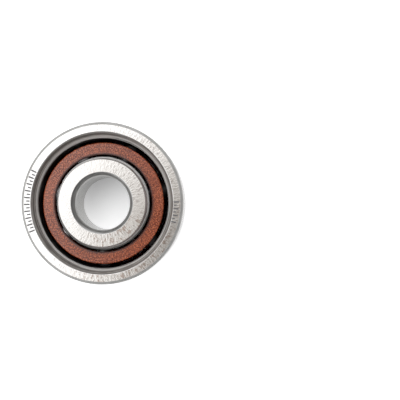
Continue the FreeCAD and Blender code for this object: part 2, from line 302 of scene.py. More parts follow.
outer_outline = [
    (GUIDE_SHOULDER + SHOULDER_BEVEL, 0),
    (OUTSIDE_RADIUS - BACK_CORNER, 0),
    *arc((OUTSIDE_RADIUS - BACK_CORNER, 0), back_seat, BACK_CORNER),
    front_seat,
    *arc(front_seat, front_face, FRONT_CORNER),
    (mouth + LIP_WIDTH, RING_WIDTH),
    (mouth, RING_WIDTH - LIP_DEPTH),
    (step_top, RING_WIDTH - MOUTH_DEPTH),
    (OPEN_SHOULDER, RING_WIDTH - MOUTH_DEPTH - STEP_DEPTH),
    open_edge,
    *arc(open_edge, guide_edge, GROOVE_RADIUS, hollow=True),
    (GUIDE_SHOULDER, SHOULDER_BEVEL),
]
outer_ring = turned("outer_ring_turned", outer_outline)
break_edges(outer_ring, EDGE_BREAK)
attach(outer_ring, "outer_ring_body")
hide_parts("outer_ring")

# %% [markdown]
# ## Inner ring
#
# The tall thrust shoulder is at the front, below a ledge and a recessed wall. The
# bore's corners are long shallow curves that guide the ring onto its shaft. They
# run tangent into the bore and meet the face at a crisp edge, so the radius of
# the curve follows from how far it reaches along the face and along the bore.

# %% Inner ring
inner_centre = PITCH_RADIUS + shift_radial
inner_height = MID_HEIGHT - shift_axial
rear_edge = (REAR_SHOULDER, groove_edge(inner_centre, inner_height, REAR_SHOULDER, -1))
thrust_edge = (THRUST_SHOULDER, groove_edge(inner_centre, inner_height, THRUST_SHOULDER, 1))
bore_corner_radius = (BORE_CORNER_RISE ** 2 + BORE_CORNER_DEPTH ** 2) / (2 * BORE_CORNER_RISE)
bore_front = (BORE_RADIUS, RING_WIDTH - BORE_CORNER_DEPTH)
bore_back = (BORE_RADIUS, BORE_CORNER_DEPTH)

inner_outline = [
    (REAR_SHOULDER - SHOULDER_BEVEL, 0),
    (REAR_SHOULDER, SHOULDER_BEVEL),
    rear_edge,
    *arc(rear_edge, thrust_edge, GROOVE_RADIUS, hollow=True),
    (THRUST_SHOULDER, recess_foot - LEDGE_DEPTH),
    (ledge_top, recess_foot),
    (face_outer, RING_WIDTH),
    (face_inner, RING_WIDTH),
    *arc((face_inner, RING_WIDTH), bore_front, bore_corner_radius),
    bore_back,
    *arc(bore_back, (face_inner, 0), bore_corner_radius),
]
inner_ring = turned("inner_ring_turned", inner_outline)
break_edges(inner_ring, EDGE_BREAK)
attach(inner_ring, "inner_ring_body")
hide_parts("inner_ring")

# %% [markdown]
# ## Cage
#
# The cage is a tube of cloth laminate, turned to size and drilled from outside
# with one round pocket for each ball. Here the tube is turned as the rings are,
# and a cylinder cuts the pockets one after another, as the drill does. The
# cutter could be seven cylinders joined, but a fresh cylinder for each pocket,
# deleted after its cut, is the simpler tool.

# %% Cage
CAGE_EDGE_BREAK = 0.03 * MM

cage_outline = [
    (CAGE_INNER + CAGE_BEVEL, CAGE_BOTTOM),
    (CAGE_OUTER - CAGE_BEVEL, CAGE_BOTTOM),
    (CAGE_OUTER, CAGE_BOTTOM + CAGE_BEVEL),
    (CAGE_OUTER, CAGE_TOP - CAGE_BEVEL),
    (CAGE_OUTER - CAGE_BEVEL, CAGE_TOP),
    (CAGE_INNER + CAGE_BEVEL, CAGE_TOP),
    (CAGE_INNER, CAGE_TOP - CAGE_BEVEL),
    (CAGE_INNER, CAGE_BOTTOM + CAGE_BEVEL),
]
cage = turned("cage_drilled", cage_outline)
break_edges(cage, CAGE_EDGE_BREAK, segments=2)

# %% Drill the pockets
POCKET_SIDES = 160
CUTTER_LENGTH = 6 * MM


def cut_pocket(piece, angle):
    """Drill one radial pocket at an angle round the axis."""
    place = Vector((math.cos(angle) * PITCH_RADIUS, math.sin(angle) * PITCH_RADIUS, MID_HEIGHT))
    bpy.ops.object.select_all(action="DESELECT")
    bpy.ops.mesh.primitive_cylinder_add(vertices=POCKET_SIDES, radius=POCKET_RADIUS,
                                        depth=CUTTER_LENGTH, location=place,
                                        rotation=(0, math.pi / 2, angle))
    cutter = bpy.context.object
    bpy.ops.object.select_all(action="DESELECT")
    piece.select_set(True)
    bpy.context.view_layer.objects.active = piece
    bpy.ops.object.modifier_add(type="BOOLEAN")
    boolean = piece.modifiers[-1]
    boolean.operation = "DIFFERENCE"
    boolean.solver = "EXACT"
    boolean.object = cutter
    bpy.ops.object.modifier_apply(modifier=boolean.name)
    bpy.data.objects.remove(cutter)


for number in range(BALL_COUNT):
    cut_pocket(cage, FIRST_BALL_ANGLE + 2 * math.pi * number / BALL_COUNT)
bpy.ops.object.shade_smooth_by_angle(angle=SMOOTH_ANGLE)
print(f"cage: {len(cage.data.polygons)} faces with its pockets")
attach(cage, "cage_body")
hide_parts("cage")

# %% [markdown]
# ## Balls
#
# A ball is lapped round to less than a thousandth of a millimetre. A cube that
# is subdivided and pulled to a sphere has evenly sized faces and no poles, so
# its reflections stay clean all round, which a sphere of rings and segments
# doesn't give. One ball is modelled, and the others are copies of it with their
# own meshes, each moved to its own pocket.

# %% Model one ball at the centre
BALL_CUTS = 22

bpy.ops.object.select_all(action="DESELECT")
bpy.ops.mesh.primitive_cube_add(size=BALL_RADIUS, location=(0, 0, 0))
model_ball = bpy.context.object
bpy.ops.object.mode_set(mode="EDIT")
bpy.ops.mesh.select_all(action="SELECT")
bpy.ops.mesh.subdivide(number_cuts=BALL_CUTS)
bpy.ops.transform.tosphere(value=1)
bpy.ops.object.mode_set(mode="OBJECT")
measured_radius = max(v.co.length for v in model_ball.data.vertices)
bpy.ops.transform.resize(value=[BALL_RADIUS / measured_radius] * 3)
bpy.ops.object.transform_apply(location=True, rotation=True, scale=True)
bpy.ops.object.shade_smooth()
print(f"model ball: {len(model_ball.data.polygons)} faces, radius {BALL_RADIUS / MM:.4f} mm")

# %% Copy it to every pocket
balls = []
for number in range(1, BALL_COUNT + 1):
    ball = model_ball.copy()
    ball.data = model_ball.data.copy()
    ball.name = f"ball_{number}_lapped"
    bpy.context.collection.objects.link(ball)
    bpy.ops.object.select_all(action="DESELECT")
    ball.select_set(True)
    bpy.context.view_layer.objects.active = ball
    bpy.ops.transform.translate(value=joints[f"ball_{number}_spin"]["pos_m"])
    bpy.ops.object.transform_apply(location=True, rotation=True, scale=True)
    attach(ball, f"ball_{number}_body")
    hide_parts(f"ball_{number}")
    balls.append(ball)
bpy.data.objects.remove(model_ball)
print(f"{len(balls)} balls placed")

# %% [markdown]
# ## Shader maths as Python
#
# The finishes are patterns worked out from a point's place on the piece: how far
# it is from the axis, at which angle, how high. Written as nodes one by one, such
# sums are hard to read. The small class below wraps a node's output, so that
# `radius * 2 + 1` adds the Math nodes by itself. Every other node comes from
# `Finish.node`, which takes a node's type, its settings and its sockets.

# %% A wrapped socket
class Signal:
    """One output of a node, on which arithmetic adds Math nodes."""

    def __init__(self, finish, output):
        self.finish = finish
        self.output = output

    def maths(self, operation, *values, **settings):
        settings["operation"] = operation
        return self.finish.node("ShaderNodeMath", settings, dict(enumerate(values)))

    def __add__(self, other):
        return self.maths("ADD", self, other)

    def __radd__(self, other):
        return self.maths("ADD", other, self)

    def __sub__(self, other):
        return self.maths("SUBTRACT", self, other)

    def __rsub__(self, other):
        return self.maths("SUBTRACT", other, self)

    def __mul__(self, other):
        return self.maths("MULTIPLY", self, other)

    def __rmul__(self, other):
        return self.maths("MULTIPLY", other, self)

    def __truediv__(self, other):
        return self.maths("DIVIDE", self, other)

    def __rtruediv__(self, other):
        return self.maths("DIVIDE", other, self)

    def __pow__(self, other):
        return self.maths("POWER", self, other)

    def __rpow__(self, other):
        return self.maths("POWER", other, self)

    def __mod__(self, other):
        return self.maths("FLOORED_MODULO", self, other)

    def __rmod__(self, other):
        return self.maths("FLOORED_MODULO", other, self)

    def __abs__(self):
        return self.maths("ABSOLUTE", self)

    def clamped(self):
        return self.maths("ADD", self, 0, use_clamp=True)


# %% A node tree to write on
MIX_FIRST = 6
MIX_SECOND = 7
MIX_COLOUR = 2


class Finish:
    """A node tree of a material or the world, with one way to add a node."""

    def __init__(self, owner):
        owner.use_nodes = True
        self.tree = owner.node_tree
        self.tree.nodes.clear()

    def node(self, kind, settings=None, sockets=None, output=0):
        """Add a node: its settings first, then values or links for its sockets."""
        node = self.tree.nodes.new(kind)
        for name, value in (settings or {}).items():
            if name == "stops":
                set_stops(node.color_ramp, value)
            else:
                setattr(node, name, value)
        for name, value in (sockets or {}).items():
            if isinstance(value, Signal):
                self.tree.links.new(value.output, node.inputs[name])
            else:
                node.inputs[name].default_value = value
        return Signal(self, node.outputs[output]) if node.outputs else None

    def blend(self, share, first, second):
        """A colour between two others. Its sockets go by number, since their names repeat."""
        sockets = {"Factor": share, MIX_FIRST: first, MIX_SECOND: second}
        return self.node("ShaderNodeMix", {"data_type": "RGBA"}, sockets, output=MIX_COLOUR)

    def weigh(self, first, second, share):
        """Two patterns added, with a given share of the second."""
        return first * (1 - share) + second * share

    def ease(self, value, low, high):
        """0 below low, 1 above high, and a smooth rise between them."""
        settings = {"interpolation_type": "SMOOTHSTEP"}
        sockets = {"Value": value, "From Min": low, "From Max": high}
        return self.node("ShaderNodeMapRange", settings, sockets)

    def part(self, vector, letter):
        """The x, y or z of a vector."""
        return self.node("ShaderNodeSeparateXYZ", {}, {0: vector}, output="XYZ".index(letter))

    def combine(self, x, y, z):
        return self.node("ShaderNodeCombineXYZ", {}, {0: x, 1: y, 2: z})

    def noise(self, place, scale=1.0, detail=2.0, roughness=0.5):
        sockets = {"Vector": place, "Scale": scale, "Detail": detail, "Roughness": roughness}
        return self.node("ShaderNodeTexNoise", {}, sockets)


def set_stops(ramp, stops):
    """Give a colour ramp its stops, each a place and a colour."""
    while len(ramp.elements) > 1:
        ramp.elements.remove(ramp.elements[-1])
    for number, (place, colour) in enumerate(stops):
        element = ramp.elements[0] if number == 0 else ramp.elements.new(place)
        element.position = place
        element.color = colour


# %% [markdown]
# A bearing's finishes follow its axis. Each material therefore starts from the
# same few signals: the distance from the axis and the height in millimetres, and
# the direction round the axis as a pair of numbers that has no seam. The angle
# itself would jump from +180 to -180 degrees somewhere, and tear a pattern there.

# %% The place of a point on a turned piece
PER_MM = 1 / MM
OBJECT_COORDINATES = 3


class Turned(Finish):
    """A finish whose patterns follow the axis of the bearing."""

    def __init__(self, name):
        self.material = bpy.data.materials.new(name)
        super().__init__(self.material)
        self.place = self.node("ShaderNodeTexCoord", output=OBJECT_COORDINATES)
        self.x = self.part(self.place, "X") * PER_MM
        self.y = self.part(self.place, "Y") * PER_MM
        self.height = self.part(self.place, "Z") * PER_MM
        self.radius = (self.x * self.x + self.y * self.y) ** 0.5
        self.round_x = self.x / self.radius
        self.round_y = self.y / self.radius

    def polar(self, around, along, up=1.0):
        """A vector that stretches a pattern: how dense it is round the axis, outwards, upwards."""
        return self.combine(self.round_x * around + self.height * up, self.round_y * around,
                            self.radius * along)

    def sector(self, degrees):
        """Signed angle in degrees from a direction; its seam is on the far side."""
        turn = math.radians(degrees)
        ahead = self.x * math.cos(turn) + self.y * math.sin(turn)
        aside = self.y * math.cos(turn) - self.x * math.sin(turn)
        return aside.maths("ARCTAN2", aside, ahead) * math.degrees(1)

    def surface(self, sockets, bumps=()):
        """Close the material with its shader. A bump is a height signal and its depth in mm."""
        normal = None
        for signal, depth in bumps:
            joined = {"Height": signal, "Distance": depth * MM}
            if normal is not None:
                joined["Normal"] = normal
            normal = self.node("ShaderNodeBump", {}, joined)
        if normal is not None:
            sockets = {**sockets, "Normal": normal}
        shader = self.node("ShaderNodeBsdfPrincipled", {}, sockets)
        self.node("ShaderNodeOutputMaterial", {}, {"Surface": shader})
        return self.material


# %% [markdown]
# ## Ground faces
#
# The flat faces are ground between two discs, which leaves fine short marks that
# cross the face. The marks are darker over one side of each face than elsewhere,
# and a few stains lie on that side. All this could be painted as an image, but
# noise stretched outwards and squeezed round the axis gives marks of the right
# grain at any size.
# The outer ring's front also has laser marks. They are plain graduations: a long
# row of ticks on the left and a short one on the right, darker and duller than
# the steel.

# %% Rows of laser ticks
TICK_PITCH = 5.2
LEFT_SCALE = 178.5
LEFT_TICKS = 10
LEFT_RADIUS = 13.86
RIGHT_SCALE = -7.0
RIGHT_TICKS = 4
RIGHT_RADIUS = 13.66
LEFT_LONG = {"width": 1.1, "length": 1.05}
LEFT_SHORT = {"width": 1.0, "length": 0.65}
RIGHT_LONG = {"width": 1.1, "length": 1.0}
RIGHT_SHORT = {"width": 1.0, "length": 0.6}
SHORT_TICK_DROP = 0.20
SIDE_BLUR = 0.15
END_BLUR = 0.04


def ticks(finish, centre, count, radius, width, length):
    """A row of radial ticks: 1 on a tick, 0 elsewhere. Angles in degrees, lengths in mm."""
    angle = finish.sector(centre)
    half_row = count * TICK_PITCH / 2
    in_row = 1 - finish.ease(abs(angle), half_row - width, half_row)
    from_tick = abs((angle + half_row) % TICK_PITCH - TICK_PITCH / 2)
    on_tick = 1 - finish.ease(from_tick, width * (0.5 - SIDE_BLUR), width * (0.5 + SIDE_BLUR))
    from_middle = abs(finish.radius - radius)
    on_length = 1 - finish.ease(from_middle, length * (0.5 - END_BLUR), length * (0.5 + END_BLUR))
    return in_row * on_tick * on_length


def graduations(finish):
    """A long scale on the left, a short one on the right, and short ticks between the long ones."""
    left = ticks(finish, LEFT_SCALE, LEFT_TICKS, LEFT_RADIUS, **LEFT_LONG)
    left_between = ticks(finish, LEFT_SCALE, LEFT_TICKS - 1, LEFT_RADIUS - SHORT_TICK_DROP,
                         **LEFT_SHORT)
    right = ticks(finish, RIGHT_SCALE, RIGHT_TICKS, RIGHT_RADIUS, **RIGHT_LONG)
    right_between = ticks(finish, RIGHT_SCALE, RIGHT_TICKS - 1, RIGHT_RADIUS - SHORT_TICK_DROP,
                          **RIGHT_SHORT)
    return (left + left_between + right + right_between).clamped()


# %% Ground face steel
STEEL = (0.74, 0.735, 0.725, 1)
STEEL_WORN = (0.52, 0.495, 0.48, 1)
STEEL_STAINED = (0.44, 0.365, 0.325, 1)
LASER_GREY = (0.12, 0.115, 0.12, 1)

MARK_LENGTHWISE = 1.3
SMEAR_SCALE = 450
SMEAR_SHARE = 0.25
GRAIN_BAND = (0.50, 0.64)
DARKER_GRAIN_SIDE = -20
DARKER_GRAIN_REACH = (70, 125)
WEAR_ELSEWHERE = 0.25
BLOT_SCALE = 1100
BLOT_MARKS = 0.4
STAIN_BAND = (0.50, 0.60)
THUMBED_SIDE = -60
THUMBED_REACH = (25, 65)
STAIN_STRENGTH = 0.8
LASER_STRENGTH = 0.9
LASER_OXIDE = 0.8
GROUND_DULLNESS = 0.11
GRAIN_DULLNESS = 0.05
LASER_DULLNESS = 0.3
MARK_DEPTH = 0.015


def ground_face(name, around, graduated):
    """A ground face; around sets how many marks fit on its circle."""
    finish = Turned(name)
    marks = finish.noise(finish.polar(around, MARK_LENGTHWISE), detail=3, roughness=0.6)
    smear = finish.noise(finish.place, SMEAR_SCALE, detail=3, roughness=0.6)
    blots = finish.noise(finish.place, BLOT_SCALE, detail=2, roughness=0.6)
    grain = finish.ease(finish.weigh(marks, smear, SMEAR_SHARE), *GRAIN_BAND)
    # Full grain colour on one side of each face, a quarter of it elsewhere.
    darker_grain_side = 1 - finish.ease(abs(finish.sector(DARKER_GRAIN_SIDE)), *DARKER_GRAIN_REACH)
    thumbed = 1 - finish.ease(abs(finish.sector(THUMBED_SIDE)), *THUMBED_REACH)
    wear = grain * (WEAR_ELSEWHERE + darker_grain_side * (1 - WEAR_ELSEWHERE))
    stain = finish.ease(finish.weigh(blots, marks, BLOT_MARKS), *STAIN_BAND) * thumbed
    worn = finish.blend(wear, STEEL, STEEL_WORN)
    colour = finish.blend(stain * STAIN_STRENGTH, worn, STEEL_STAINED)
    metal = 1.0
    dullness = GROUND_DULLNESS + grain * GRAIN_DULLNESS
    if graduated:
        laser = graduations(finish)
        colour = finish.blend(laser * LASER_STRENGTH, colour, LASER_GREY)
        metal = 1 - laser * LASER_OXIDE
        dullness = dullness + laser * LASER_DULLNESS
    sockets = {"Base Color": colour, "Metallic": metal, "Roughness": dullness}
    return finish.surface(sockets, [(marks, MARK_DEPTH)])


# %% [markdown]
# ## Turned and hardened steel
#
# The corners aren't ground after hardening. They keep the fine rings of the lathe
# and a satin grey skin. Those rings depend on the radius and the height only,
# with a little change round the axis where the tool has chattered. The low lands
# beside the cage have the same rings in a dark colour, which is painted shade:
# light hardly reaches that deep between the rings and the cage. The lip of the
# outer ring has the rings almost polished away. The rings could be
# cut as real grooves, but they are only a few thousandths of a millimetre deep,
# so a bump is enough. One function with two colours and a dullness makes all
# four finishes.

# %% Turned steel
TURNED_STEEL = (0.66, 0.655, 0.645, 1)
TURNED_DARK = (0.48, 0.475, 0.465, 1)
CORNER_STEEL = (0.67, 0.665, 0.655, 1)
CORNER_DARK = (0.58, 0.575, 0.56, 1)
# The land colours are dark as painted shade, deep beside the cage.
LAND_SHADE_STEEL = (0.30, 0.29, 0.28, 1)
LAND_SHADE_DARK = (0.20, 0.19, 0.18, 1)

CLOUD_SCALE = 420
RING_CLOUD = 0.4
SHADE_BAND = (0.38, 0.64)
SHADE_DULLNESS = 0.08
RING_DEPTH = 0.003


def turned_steel(name, light_colour, dark_colour, dullness):
    """Fine rings of the lathe in two colours, over a given dullness."""
    finish = Turned(name)
    rings = finish.noise(finish.polar(around=1.5, along=22, up=16), detail=3, roughness=0.6)
    cloud = finish.noise(finish.place, CLOUD_SCALE, detail=3, roughness=0.55)
    shade = finish.ease(finish.weigh(rings, cloud, RING_CLOUD), *SHADE_BAND)
    sockets = {
        "Base Color": finish.blend(shade, light_colour, dark_colour),
        "Metallic": 1.0,
        "Roughness": dullness + shade * SHADE_DULLNESS,
    }
    return finish.surface(sockets, [(rings, RING_DEPTH)])


# %% [markdown]
# ## Relief and recess
#
# The relief of the outer ring and the recess of the inner ring are left as turned,
# under a pale grey skin from the hardening furnace, and dark streaks of scale run
# round on both. Their sloping walls are given a darker colour than the ledges
# below them, which is painted shade. The walls and ledges could be faces with a
# material each, but the height of a point tells them apart, so that one material
# can fade from one colour to the other where they meet.

# %% Relief steel
MOUTH_LEDGE = (0.82, 0.825, 0.80, 1)
# The wall colours are darker than the ledge colours as painted shade.
MOUTH_WALL_SHADED = (0.56, 0.555, 0.53, 1)
RECESS_LEDGE = (0.96, 0.96, 0.95, 1)
RECESS_WALL_SHADED = (0.90, 0.90, 0.89, 1)
RELIEF_DARK = (0.14, 0.13, 0.12, 1)

STREAK_CLOUD = 0.1
STREAK_BAND = (0.49, 0.55)
STREAK_STRENGTH = 0.8
BELOW_FOOT = 0.05
ABOVE_FOOT = 0.03
SKIN_METAL = 0.3
SKIN_DULLNESS = 0.38
STREAK_DULLNESS = 0.1
STREAK_DEPTH = 0.008


def relief_steel(name, wall_foot, ledge_colour, shaded_wall_colour):
    """The skin of a relief, with one colour on the wall, darker as painted shade, and one on the ledge below
    wall_foot.
    """
    finish = Turned(name)
    rings = finish.noise(finish.polar(around=0.5, along=4, up=3), detail=2, roughness=0.5)
    cloud = finish.noise(finish.place, CLOUD_SCALE, detail=3, roughness=0.55)
    streaks = finish.ease(finish.weigh(rings, cloud, STREAK_CLOUD), *STREAK_BAND)
    on_wall = finish.ease(finish.height, wall_foot - BELOW_FOOT, wall_foot + ABOVE_FOOT)
    skin = finish.blend(on_wall, ledge_colour, shaded_wall_colour)
    sockets = {
        "Base Color": finish.blend(streaks * STREAK_STRENGTH, skin, RELIEF_DARK),
        "Metallic": SKIN_METAL,
        "Roughness": SKIN_DULLNESS + streaks * STREAK_DULLNESS,
    }
    return finish.surface(sockets, [(rings, STREAK_DEPTH)])


# %% [markdown]
# ## Ground seats and honed grooves
#
# The outside seat and the bore are ground round the axis, which leaves marks so
# fine that they only stretch a reflection a little. Noise that hardly changes
# round the axis gives them. The grooves are honed and the balls are lapped almost
# to a mirror, so all that they need is a roughness that a thin film of oil varies.

# %% Seat steel
SEAT_STEEL = (0.56, 0.555, 0.545, 1)
SEAT_SHADE = (0.45, 0.445, 0.43, 1)
SEAT_DULLNESS = 0.22
SEAT_MARK_DEPTH = 0.0012


def seat_steel():
    """Marks that run round the axis, close together up the seat."""
    finish = Turned("seat_steel")
    rings = finish.noise(finish.polar(around=2, along=6, up=40), detail=3, roughness=0.55)
    shade = finish.ease(rings, *SHADE_BAND)
    sockets = {
        "Base Color": finish.blend(shade, SEAT_STEEL, SEAT_SHADE),
        "Metallic": 1.0,
        "Roughness": SEAT_DULLNESS + shade * SHADE_DULLNESS,
    }
    return finish.surface(sockets, [(rings, SEAT_MARK_DEPTH)])


# %% Groove and ball steel
GROOVE_STEEL = (0.56, 0.56, 0.64, 1)
BALL_STEEL = (0.52, 0.52, 0.53, 1)


def oiled_steel(name, colour, film_scale, film_detail, dullness, film_dullness):
    """Steel that is almost a mirror, under a thin uneven film of oil."""
    finish = Turned(name)
    film = finish.noise(finish.place, film_scale, detail=film_detail)
    sockets = {
        "Base Color": colour,
        "Metallic": 1.0,
        "Roughness": dullness + film * film_dullness,
    }
    return finish.surface(sockets)


# %% [markdown]
# ## Cloth laminate
#
# The cage is cotton cloth set in reddish-brown resin. On its machined side faces
# the cut threads show as short light and dark flecks. Crossed waves would draw a
# weave, but cut threads are irregular, so two noises are mixed instead: one that
# is squeezed round the axis, and one that is alike in all directions. A slow
# cloud makes some stretches paler. Near the bore, and on the walls inside the
# bearing, the resin is painted nearly black as shade, where little light gets in
# between the cage and the rings.

# %% Cloth laminate
RESIN_DARK = (0.11, 0.014, 0.002, 1)
RESIN_RUST = (0.26, 0.038, 0.006, 1)
THREAD_PALE = (0.68, 0.165, 0.058, 1)
# Painted shade near the bore and on the walls inside the bearing.
PAINTED_SHADE_EDGE = (0.04, 0.006, 0.004, 1)

WEFT_SCALE = 3700
WEFT_SHARE = 0.6
PALE_BAND = (0.50, 0.57)
PALE_STRENGTH = 0.9
DARK_BAND = (0.42, 0.49)
DARK_STRENGTH = 0.95
FADED_SCALE = 350
FADED_BAND = (0.45, 0.7)
FADED_STRENGTH = 0.2
PAINTED_SHADE_FROM_BORE = (0.10, 0.55)
PAINTED_SHADE_FROM_FACE = (0.50, 0.05)
PAINTED_SHADE_STRENGTH = 0.9
RESIN_DULLNESS = 0.03
FLECK_DULLNESS = 0.08
RESIN_IOR = 1.6
RESIN_SHINE = 0.58
THREAD_DEPTH = 0.014


def painted_shade(finish):
    """Painted shade: 1 near the bore and inside the bearing, 0 on the open part of a side face."""
    from_inside = finish.radius - CAGE_INNER / MM
    near_bore = 1 - finish.ease(from_inside, *PAINTED_SHADE_FROM_BORE)
    from_middle = abs(finish.height - MID_HEIGHT / MM)
    half_width = (CAGE_TOP - MID_HEIGHT) / MM
    inside = 1 - finish.ease(from_middle, *[half_width - depth for depth in PAINTED_SHADE_FROM_FACE])
    return (near_bore + inside).clamped()


def cloth_laminate():
    """Resin with the cut threads of its cloth, with shade painted dark at the bore and inside."""
    finish = Turned("cloth_laminate")
    warp = finish.noise(finish.polar(around=110, along=5, up=5), detail=2, roughness=0.6)
    weft = finish.noise(finish.place, WEFT_SCALE, detail=2, roughness=0.6)
    cloud = finish.noise(finish.place, FADED_SCALE, detail=2)
    flecks = finish.weigh(warp, weft, WEFT_SHARE)
    pale = finish.ease(flecks, *PALE_BAND)
    dark = 1 - finish.ease(flecks, *DARK_BAND)
    faded = finish.ease(cloud, *FADED_BAND)
    rust = finish.blend(pale * PALE_STRENGTH, RESIN_RUST, THREAD_PALE)
    resin = finish.blend(dark * DARK_STRENGTH, rust, RESIN_DARK)
    clouded = finish.blend(faded * FADED_STRENGTH, resin, THREAD_PALE)
    sockets = {
        # The near-black colour at the bore and inside the bearing is painted shade.
        "Base Color": finish.blend(painted_shade(finish) * PAINTED_SHADE_STRENGTH, clouded, PAINTED_SHADE_EDGE),
        "Roughness": RESIN_DULLNESS + flecks * FLECK_DULLNESS,
        "IOR": RESIN_IOR,
        "Specular IOR Level": RESIN_SHINE,
    }
    return finish.surface(sockets, [(flecks, THREAD_DEPTH)])


# %% [markdown]
# ## Give each surface its finish
#
# A ring has several finishes side by side. They could be masked inside one large
# material, but a material for each finish, given to faces that are chosen by
# their place, stays simple and can be changed on its own.

# %% Make the finishes
OUTER_MARKS = 42
INNER_MARKS = 24

MARKED_FACE = ground_face("marked_ground_face", OUTER_MARKS, graduated=True)
OUTER_FACE = ground_face("outer_ground_face", OUTER_MARKS, graduated=False)
INNER_FACE = ground_face("inner_ground_face", INNER_MARKS, graduated=False)
BORE_CORNER = turned_steel("bore_corner_steel", TURNED_STEEL, TURNED_DARK, dullness=0.30)
RIM_CORNER = turned_steel("rim_corner_steel", CORNER_STEEL, CORNER_DARK, dullness=0.70)
# The lands beside the cage get painted shade.
SHADED_LAND = turned_steel("land_shade_steel", LAND_SHADE_STEEL, LAND_SHADE_DARK, dullness=0.40)
LIP = turned_steel("lip_steel", STEEL, STEEL_WORN, dullness=0.12)
MOUTH_SKIN = relief_steel("mouth_relief_steel", (RING_WIDTH - MOUTH_DEPTH) / MM,
                          MOUTH_LEDGE, MOUTH_WALL_SHADED)
RECESS_SKIN = relief_steel("recess_relief_steel", (RING_WIDTH - RECESS_DEPTH) / MM,
                           RECESS_LEDGE, RECESS_WALL_SHADED)
SEAT = seat_steel()
GROOVE = oiled_steel("groove_steel", GROOVE_STEEL, film_scale=500, film_detail=2,
                     dullness=0.12, film_dullness=0.08)
BALL = oiled_steel("ball_steel", BALL_STEEL, film_scale=700, film_detail=3,
                   dullness=0.035, film_dullness=0.05)
LAMINATE = cloth_laminate()


# %% Choose faces by their place
def dress(piece, base, choices):
    """The base finish everywhere, and others where a test of radius, height and normal holds."""
    finishes = [base, *(material for material, _ in choices)]
    for material in finishes:
        piece.data.materials.append(material)
    for face in piece.data.polygons:
        radius = math.hypot(face.center.x, face.center.y)
        for number, (_, test) in enumerate(choices, start=1):
            if test(radius, face.center.z, face.normal):
                face.material_index = number
    counts = [sum(f.material_index == i for f in piece.data.polygons) for i in range(len(finishes))]
    print(piece.name, dict(zip([m.name for m in finishes], counts)))


# %% Tests for the place of each finish
NEARLY_UPRIGHT = 0.02
LIP_TILT = 0.9
SEAT_TOLERANCE = 0.02 * MM
GROOVE_MARGIN = 0.2 * MM
BORE_MARGIN = 0.5 * MM


def is_flat(radius, height, normal):
    return abs(normal.z) > NEARLY_FLAT


def is_front(radius, height, normal):
    return normal.z > NEARLY_FLAT


def is_seat(radius, height, normal):
    return radius > OUTSIDE_RADIUS - SEAT_TOLERANCE and abs(normal.z) < NEARLY_UPRIGHT


def is_bore(radius, height, normal):
    return radius < BORE_RADIUS + SEAT_TOLERANCE and abs(normal.z) < NEARLY_UPRIGHT


def is_land(radius, height, normal):
    return abs(normal.z) < NEARLY_UPRIGHT and face_outer < radius < mouth


def is_mouth(radius, height, normal):
    deep = MOUTH_DEPTH + STEP_DEPTH + EDGE_BREAK
    below_edge = EDGE_BREAK < RING_WIDTH - height < deep
    return below_edge and OPEN_SHOULDER - EDGE_BREAK < radius < mouth + EDGE_BREAK


def is_lip(radius, height, normal):
    leaning = NEARLY_FLAT > normal.z > LIP_TILT
    return leaning and height > MID_HEIGHT and mouth < radius < mouth + LIP_WIDTH


def is_recess(radius, height, normal):
    deep = RECESS_DEPTH + LEDGE_DEPTH + EDGE_BREAK
    below_edge = EDGE_BREAK < RING_WIDTH - height < deep
    return below_edge and radius > face_outer - EDGE_BREAK


def is_outer_groove(radius, height, normal):
    within = SHOULDER_BEVEL < height < open_edge[1] + EDGE_BREAK
    return within and radius < OPEN_SHOULDER + GROOVE_MARGIN


def is_inner_groove(radius, height, normal):
    within = SHOULDER_BEVEL < height < thrust_edge[1] + EDGE_BREAK
    return within and radius > BORE_RADIUS + BORE_MARGIN


# %% Dress the pieces
OUTER_FINISHES = [(OUTER_FACE, is_flat), (MARKED_FACE, is_front), (SEAT, is_seat),
                  (GROOVE, is_outer_groove), (SHADED_LAND, is_land), (MOUTH_SKIN, is_mouth),
                  (LIP, is_lip)]
INNER_FINISHES = [(INNER_FACE, is_flat), (SEAT, is_bore), (GROOVE, is_inner_groove),
                  (SHADED_LAND, is_land), (RECESS_SKIN, is_recess)]
dress(outer_ring, RIM_CORNER, OUTER_FINISHES)
dress(inner_ring, BORE_CORNER, INNER_FINISHES)
dress(cage, LAMINATE, [])
for ball in balls:
    dress(ball, BALL, [])

# %% [markdown]
# ## Table
#
# A light table hides the shadows of a small product. The floor is a large pale
# sheet, which could be left plain, but then a grey shadow would lie round the
# rim. It glows outside the bearing's rim, so that it comes out clean, and more
# faintly inside the bore, where it also brightens the wall above it. That inner
# glow grows towards the near side.

# %% Table
TABLE_SIZE = 3.0
TABLE_COLOUR = (0.79, 0.80, 0.81, 1)
GLOW_FROM = 0.97
BACKLIGHT = 0.8
BORE_BACKLIGHT = 0.43
BORE_TILT = 0.52
VALUE_OUTPUT = 1

bpy.ops.object.select_all(action="DESELECT")
bpy.ops.mesh.primitive_plane_add(size=TABLE_SIZE, location=(0, 0, 0))
table = bpy.context.object
table.name = "table"
light_table = bpy.data.materials.new("light_table")
sheet = Finish(light_table)
spot = sheet.node("ShaderNodeTexCoord", output=OBJECT_COORDINATES)
outwards = sheet.node("ShaderNodeVectorMath", {"operation": "LENGTH"}, {0: spot}, VALUE_OUTPUT)
rim = sheet.ease(outwards, OUTSIDE_RADIUS * GLOW_FROM, OUTSIDE_RADIUS)
in_bore = 1 - sheet.ease(outwards, face_inner * GLOW_FROM, face_inner)
nearer = 1 - sheet.part(spot, "Y") * (BORE_TILT / BORE_RADIUS)
glow_level = rim * BACKLIGHT + in_bore * nearer * BORE_BACKLIGHT
glow = sheet.node("ShaderNodeEmission", {}, {"Color": glow_level})
matt = sheet.node("ShaderNodeBsdfDiffuse", {}, {"Color": TABLE_COLOUR})
both = sheet.node("ShaderNodeAddShader", {}, {0: matt, 1: glow})
